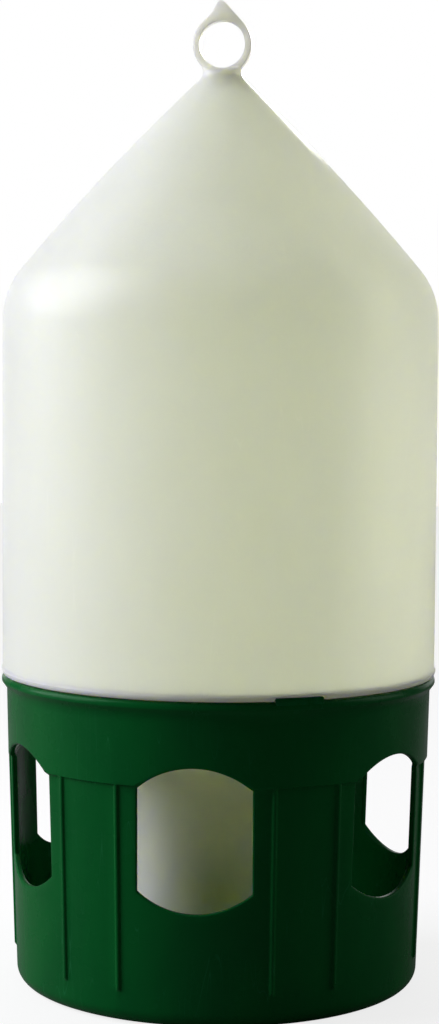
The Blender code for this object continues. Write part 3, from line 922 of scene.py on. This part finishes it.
def calculate(tree, place, operation, first, second=0.0, third=0.0):
    node = add_node(tree, "ShaderNodeMath", place, operation=operation)
    for socket, source in zip(node.inputs, (first, second, third)):
        feed(tree, socket, source)
    return node.outputs["Value"]


def ramp(tree, place, value, start, end, low=0.0, high=1.0):
    """An S-curve from low to high while the value goes from start to end."""
    node = add_node(tree, "ShaderNodeMapRange", place, interpolation_type="SMOOTHSTEP")
    labels = ("Value", "From Min", "From Max", "To Min", "To Max")
    for label, source in zip(labels, (value, start, end, low, high)):
        feed(tree, node.inputs[label], source)
    return node.outputs["Result"]


def tint(tree, place, share, color, tint_color):
    """The colour with a share of another colour mixed in."""
    node = add_node(tree, "ShaderNodeMix", place, data_type="RGBA")
    feed(tree, node.inputs[0], share)
    feed(tree, node.inputs[6], color)
    feed(tree, node.inputs[7], tint_color)
    return node.outputs[2]


def stretched(tree, place, scale, turn=(0.0, 0.0, 0.0)):
    """The object's own coordinates, scaled along each axis and turned."""
    coordinate = add_node(tree, "ShaderNodeTexCoord", (place[0] - 1, place[1]))
    mapping = add_node(tree, "ShaderNodeMapping", place)
    mapping.inputs["Scale"].default_value = scale
    mapping.inputs["Rotation"].default_value = turn
    tree.links.new(coordinate.outputs["Object"], mapping.inputs["Vector"])
    return mapping.outputs["Vector"]


def blotches(tree, place, vector, size, detail):
    """Soft noise whose blobs are about a given number of millimetres wide."""
    node = add_node(tree, "ShaderNodeTexNoise", place)
    node.inputs["Detail"].default_value = detail
    tree.links.new(vector, node.inputs["Vector"])
    feed(tree, node.inputs["Scale"], calculate(tree, (place[0] - 1, place[1]), "DIVIDE", 1000.0, size))
    return node.outputs["Fac"]


def new_group(name, inputs, outputs):
    """An empty node group; a number as an input's default makes a float socket, a tuple a colour one."""
    group = bpy.data.node_groups.new(name, "ShaderNodeTree")
    for label, default in inputs:
        kind = "NodeSocketColor" if isinstance(default, tuple) else "NodeSocketFloat"
        group.interface.new_socket(label, in_out="INPUT", socket_type=kind).default_value = default
    for label, kind in outputs:
        group.interface.new_socket(label, in_out="OUTPUT", socket_type=kind)
    given = add_node(group, "NodeGroupInput", (-6, 0))
    result = add_node(group, "NodeGroupOutput", (8, 0))
    return group, given.outputs, result.inputs


def moulded_skin_group():
    """Height of a moulded skin: a fine orange peel over slow waves, both in millimetres."""
    group, given, result = new_group(
        "moulded skin",
        (("Peel Size", 1.2), ("Peel Height", 0.01), ("Wave Size", 25.0), ("Wave Height", 0.1)),
        (("Height", "NodeSocketFloat"),),
    )
    place = stretched(group, (-4, 0), (1.0, 1.0, 1.0))
    peel = blotches(group, (0, 1), place, given["Peel Size"], 1.5)
    wave = blotches(group, (0, -1), place, given["Wave Size"], 1.5)
    peel = calculate(group, (2, 1), "MULTIPLY", peel, given["Peel Height"])
    wave = calculate(group, (2, -1), "MULTIPLY", wave, given["Wave Height"])
    feed(group, result["Height"], calculate(group, (4, 0), "ADD", peel, wave))
    return group


def clouded_colour_group():
    """A plastic's colour, clouded unevenly by how it flowed in the mould, mostly up and down the part."""
    group, given, result = new_group(
        "clouded colour",
        (("Colour", (0.5, 0.5, 0.5, 1.0)), ("Cloud", (0.4, 0.4, 0.4, 1.0)), ("Cloud Size", 20.0)),
        (("Colour", "NodeSocketColor"),),
    )
    place = stretched(group, (-4, 0), (1.0, 1.0, 0.45))
    cloud = blotches(group, (0, 0), place, given["Cloud Size"], 3.0)
    share = ramp(group, (2, 0), cloud, 0.36, 0.66)
    feed(group, result["Colour"], tint(group, (4, 0), share, given["Colour"], given["Cloud"]))
    return group


def scuffs_group():
    """Where handling has dulled the gloss: worn patches, with fine scratches across them."""
    group, given, result = new_group(
        "handling scuffs",
        (("Patch Size", 30.0), ("Scratch Spacing", 5.0)),
        (("Patches", "NodeSocketFloat"), ("Scratches", "NodeSocketFloat")),
    )
    place = stretched(group, (-4, 2), (1.0, 1.0, 1.0))
    patch = ramp(group, (2, 2), blotches(group, (0, 2), place, given["Patch Size"], 4.0), 0.42, 0.7)
    feed(group, result["Patches"], patch)
    lines = []
    directions = (((1.0, 1.0, 0.05), (0.25, 0.15, 0.0)), ((1.0, 1.0, 0.07), (1.2, 0.5, 0.4)))
    for row, (scale, turn) in zip((0, -2), directions):
        along = stretched(group, (-4, row), scale, turn)
        streak = blotches(group, (0, row), along, given["Scratch Spacing"], 0.0)
        off_line = calculate(group, (1, row), "SUBTRACT", streak, 0.5)
        off_line = calculate(group, (1, row), "ABSOLUTE", off_line)
        lines.append(ramp(group, (2, row), off_line, 0.0, 0.006, 1.0, 0.0))
    line = calculate(group, (4, 0), "MAXIMUM", *lines)
    where = ramp(group, (4, 2), blotches(group, (3, 2), place, given["Patch Size"], 1.0), 0.5, 0.6)
    feed(group, result["Scratches"], calculate(group, (5, 0), "MULTIPLY", line, where))
    return group


def rubbed_edges_group():
    """Where edges stand proud and hands, crates and floors have rubbed them."""
    group, given, result = new_group(
        "rubbed edges",
        (("Sharpness Start", 0.52), ("Sharpness End", 0.62), ("Break Size", 6.0)),
        (("Rubbed", "NodeSocketFloat"),),
    )
    geometry = add_node(group, "ShaderNodeNewGeometry", (-4, 1))
    pointiness = geometry.outputs["Pointiness"]
    edge = ramp(group, (0, 1), pointiness, given["Sharpness Start"], given["Sharpness End"])
    place = stretched(group, (-4, -1), (1.0, 1.0, 1.0))
    broken = ramp(group, (2, -1), blotches(group, (0, -1), place, given["Break Size"], 4.0), 0.35, 0.6)
    feed(group, result["Rubbed"], calculate(group, (4, 0), "MULTIPLY", edge, broken))
    return group


def settled_dust_group():
    """Fine dust on faces that look upwards, thicker in some places than in others."""
    group, given, result = new_group(
        "settled dust",
        (("Grain", 0.6), ("Drift Size", 22.0)),
        (("Dust", "NodeSocketFloat"),),
    )
    geometry = add_node(group, "ShaderNodeNewGeometry", (-4, 2))
    parts = add_node(group, "ShaderNodeSeparateXYZ", (-3, 2))
    group.links.new(geometry.outputs["Normal"], parts.inputs["Vector"])
    upward = ramp(group, (0, 2), parts.outputs["Z"], 0.35, 1.0)
    place = stretched(group, (-4, 0), (1.0, 1.0, 1.0))
    grain = ramp(group, (2, 0), blotches(group, (0, 0), place, given["Grain"], 2.0), 0.35, 0.75)
    drift = ramp(group, (2, -1), blotches(group, (0, -1), place, given["Drift Size"], 3.0), 0.3, 0.75)
    lying = calculate(group, (4, 0), "MULTIPLY", grain, drift)
    feed(group, result["Dust"], calculate(group, (5, 1), "MULTIPLY", lying, upward))
    return group


def place_group(tree, group, place, values):
    """A node group in a material, with its own values; returns its outputs."""
    node = add_node(tree, "ShaderNodeGroup", place)
    node.node_tree = group
    for label, value in values.items():
        node.inputs[label].default_value = value
    return node.outputs


def new_material(name):
    material = bpy.data.materials.new(name)
    material.use_nodes = True
    return material, material.node_tree, material.node_tree.nodes["Principled BSDF"]


def parting_line(tree, place):
    """A mask along the plane of the hanging ring, where the two halves of the blow mould met."""
    coordinate = add_node(tree, "ShaderNodeTexCoord", place)
    parts = add_node(tree, "ShaderNodeSeparateXYZ", (place[0] + 1, place[1]))
    tree.links.new(coordinate.outputs["Object"], parts.inputs["Vector"])
    off_plane = calculate(tree, (place[0] + 2, place[1]), "ABSOLUTE", parts.outputs["Y"])
    return ramp(tree, (place[0] + 3, place[1]), off_plane, 0.0, PARTING_HALF_WIDTH, 1.0, 0.0)


def finish_plastic(effects, tree, shader, look, color, rubbed=None, ridge=None):
    """The looks that all plastics share: scratches and dust on the colour, worn gloss and a moulded skin."""
    skin = place_group(tree, effects["skin"], (-8, -3), look["skin"])
    scuffs = place_group(tree, effects["scuffs"], (-8, 0), look["scuffs"])
    dust = place_group(tree, effects["dust"], (-8, 2), look["dust"])
    scratches = scuffs["Scratches"]
    share, pale = look["scratch tint"]
    color = tint(tree, (-4, 4), calculate(tree, (-6, 1), "MULTIPLY", scratches, share), color, pale)
    share, grey = look["dust tint"]
    color = tint(tree, (-3, 4), calculate(tree, (-6, 2), "MULTIPLY", dust["Dust"], share), color, grey)
    feed(tree, shader.inputs["Base Color"], color)

    clean, in_patches, where_worn = look["roughness"]
    roughness = calculate(tree, (-6, 0), "MULTIPLY_ADD", scuffs["Patches"], in_patches, clean)
    worn = calculate(tree, (-5, 0), "MAXIMUM", scratches, rubbed) if rubbed else scratches
    worn = calculate(tree, (-4, 1), "MULTIPLY", worn, where_worn)
    feed(tree, shader.inputs["Roughness"], calculate(tree, (-3, 0), "ADD", roughness, worn))

    relief = calculate(tree, (-6, -2), "MULTIPLY", scratches, -look["scratch depth"])
    if ridge:
        relief = calculate(tree, (-5, -3), "ADD", relief, ridge)
    bump = add_node(tree, "ShaderNodeBump", (-1, -2))
    bump.inputs["Distance"].default_value = MM
    feed(tree, bump.inputs["Height"], calculate(tree, (-4, -3), "ADD", skin["Height"], relief))
    feed(tree, shader.inputs["Normal"], bump.outputs["Normal"])


def natural_plastic(effects, name, reach, color=NATURAL_COLOUR):
    """Milky, slightly yellow polyethylene; light reaches a given distance into it."""
    material, tree, shader = new_material(name)
    shader.inputs["Subsurface Weight"].default_value = 1.0
    shader.inputs["Subsurface Radius"].default_value = (1.0, 1.0, 0.65)
    shader.inputs["Subsurface Scale"].default_value = reach
    clouds = {"Colour": color, "Cloud": NATURAL_CLOUD, "Cloud Size": 42.0}
    clouded = place_group(tree, effects["clouds"], (-8, 4), clouds)
    parting = parting_line(tree, (-12, -5))
    ridge = calculate(tree, (-6, -5), "MULTIPLY", parting, NATURAL_LOOK["parting height"])
    finish_plastic(effects, tree, shader, NATURAL_LOOK, clouded["Colour"], ridge=ridge)
    return material


def green_plastic(effects):
    """Dark green polypropylene with a satin gloss, paler where its edges are rubbed."""
    material, tree, shader = new_material("green polypropylene")
    shader.inputs["Specular IOR Level"].default_value = 0.1
    shader.inputs["Specular Tint"].default_value = (0.4, 1.0, 0.6, 1.0)
    clouded = place_group(tree, effects["clouds"], (-8, 4), GREEN_LOOK["clouds"])
    edges = place_group(tree, effects["edges"], (-8, -1), GREEN_LOOK["edges"])
    share, pale = GREEN_LOOK["rubbed tint"]
    rubbed = calculate(tree, (-6, -1), "MULTIPLY", edges["Rubbed"], share)
    color = tint(tree, (-5, 4), rubbed, clouded["Colour"], pale)
    finish_plastic(effects, tree, shader, GREEN_LOOK, color, rubbed=edges["Rubbed"])
    return material


def make_floor():
    """A pale floor that keeps the drinker's shadow and reads as white elsewhere."""
    bm = bmesh.new()
    bmesh.ops.create_circle(bm, cap_ends=True, segments=96, radius=FLOOR_RADIUS)
    mesh = finished_mesh("studio_floor", bm)
    material, tree, shader = new_material("pale floor")
    shader.inputs["Base Color"].default_value = FLOOR_SHADE
    shader.inputs["Roughness"].default_value = FLOOR_ROUGHNESS
    shader.inputs["Emission Color"].default_value = WHITE
    path = add_node(tree, "ShaderNodeLightPath", (-4, 0))
    glow = calculate(tree, (-2, 0), "MULTIPLY", path.outputs["Is Camera Ray"], FLOOR_GLOW)
    feed(tree, shader.inputs["Emission Strength"], glow)
    mesh.materials.append(material)
    floor = add_object("studio_floor", mesh)


def make_world():
    """White for the camera. Other rays meet a lit backdrop behind the object and a dim room before it."""
    world = bpy.data.worlds.new("white studio")
    world.use_nodes = True
    tree = world.node_tree
    path = add_node(tree, "ShaderNodeLightPath", (-5, 0)).outputs
    mirrored = calculate(tree, (-4, 0), "MAXIMUM", path["Is Glossy Ray"], path["Is Transmission Ray"])
    direction = add_node(tree, "ShaderNodeTexCoord", (-7, -2))
    parts = add_node(tree, "ShaderNodeSeparateXYZ", (-6, -2))
    tree.links.new(direction.outputs["Generated"], parts.inputs["Vector"])
    light = add_node(tree, "ShaderNodeMix", (-2, -1), data_type="FLOAT")
    feed(tree, light.inputs["Factor"], mirrored)
    for label, row, levels in (("A", -2, ROOM_LIGHT), ("B", -3, ROOM_REFLECTION)):
        front, back, start, end = levels
        level = ramp(tree, (-4, row), parts.outputs["Y"], start, end, front, back)
        feed(tree, light.inputs[label], level)
    strength = calculate(tree, (-1, 0), "MAXIMUM", path["Is Camera Ray"], light.outputs["Result"])
    background = tree.nodes["Background"]
    feed(tree, background.inputs["Strength"], strength)
    feed(tree, background.inputs["Color"], WHITE)
    bpy.context.scene.world = world


def add_softbox(name, place, target, size, watts, color, spread=180):
    light = bpy.data.lights.new(name, "AREA")
    light.shape = "RECTANGLE"
    light.size = size[0]
    light.size_y = size[1]
    light.energy = watts
    light.color = color
    light.spread = math.radians(spread)
    obj = add_object(name, light)
    obj.location = place
    obj.rotation_euler = (Vector(target) - Vector(place)).to_track_quat("-Z", "Y").to_euler()
    return obj


def make_lights():
    add_softbox("left softbox", *LEFT_SOFTBOX)
    add_softbox("right fill", *RIGHT_FILL)
    inside = add_softbox("tank daylight", *TANK_DAYLIGHT)
    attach(inside, "tank")
    behind = add_softbox("ring daylight", *RING_DAYLIGHT)
    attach(behind, "tank")


def make_camera():
    camera = bpy.data.cameras.new("photo camera")
    camera.sensor_fit = "AUTO"
    camera.sensor_width = SENSOR_SIZE
    camera.lens = SENSOR_SIZE * PHOTO_FOCAL_LENGTH / PHOTO_HEIGHT
    obj = add_object("photo_camera", camera)
    place = at(CAMERA_AZIMUTH, CAMERA_DISTANCE, CAMERA_HEIGHT)
    upright = Matrix.Rotation(CAMERA_AZIMUTH, 4, "Z") @ Matrix.Rotation(RIGHT + CAMERA_PITCH, 4, "X")
    obj.matrix_world = Matrix.Translation(place) @ upright @ Matrix.Rotation(CAMERA_ROLL, 4, "Z")
    bpy.context.scene.camera = obj


make_camera()
make_floor()
make_world()
make_lights()
effects = {
    "skin": moulded_skin_group(),
    "clouds": clouded_colour_group(),
    "scuffs": scuffs_group(),
    "edges": rubbed_edges_group(),
    "dust": settled_dust_group(),
}
make_base(green_plastic(effects))
make_tank(
    natural_plastic(effects, "natural polyethylene, blown wall", WALL_REACH),
    natural_plastic(effects, "natural polyethylene, thick neck", NECK_REACH),
    # The ring's copy is painted paler: painted light standing in for the backlight through the ring and
    # stub.
    natural_plastic(effects, "natural polyethylene, clearer ring painted paler", RING_REACH, RING_COLOUR_PAINTED_PALER),
    natural_plastic(effects, "natural polyethylene, thick lip", LIP_REACH),
)
bpy.context.scene.view_settings.view_transform = "Standard"
bpy.context.scene.cycles.diffuse_bounces = LIGHT_BOUNCES
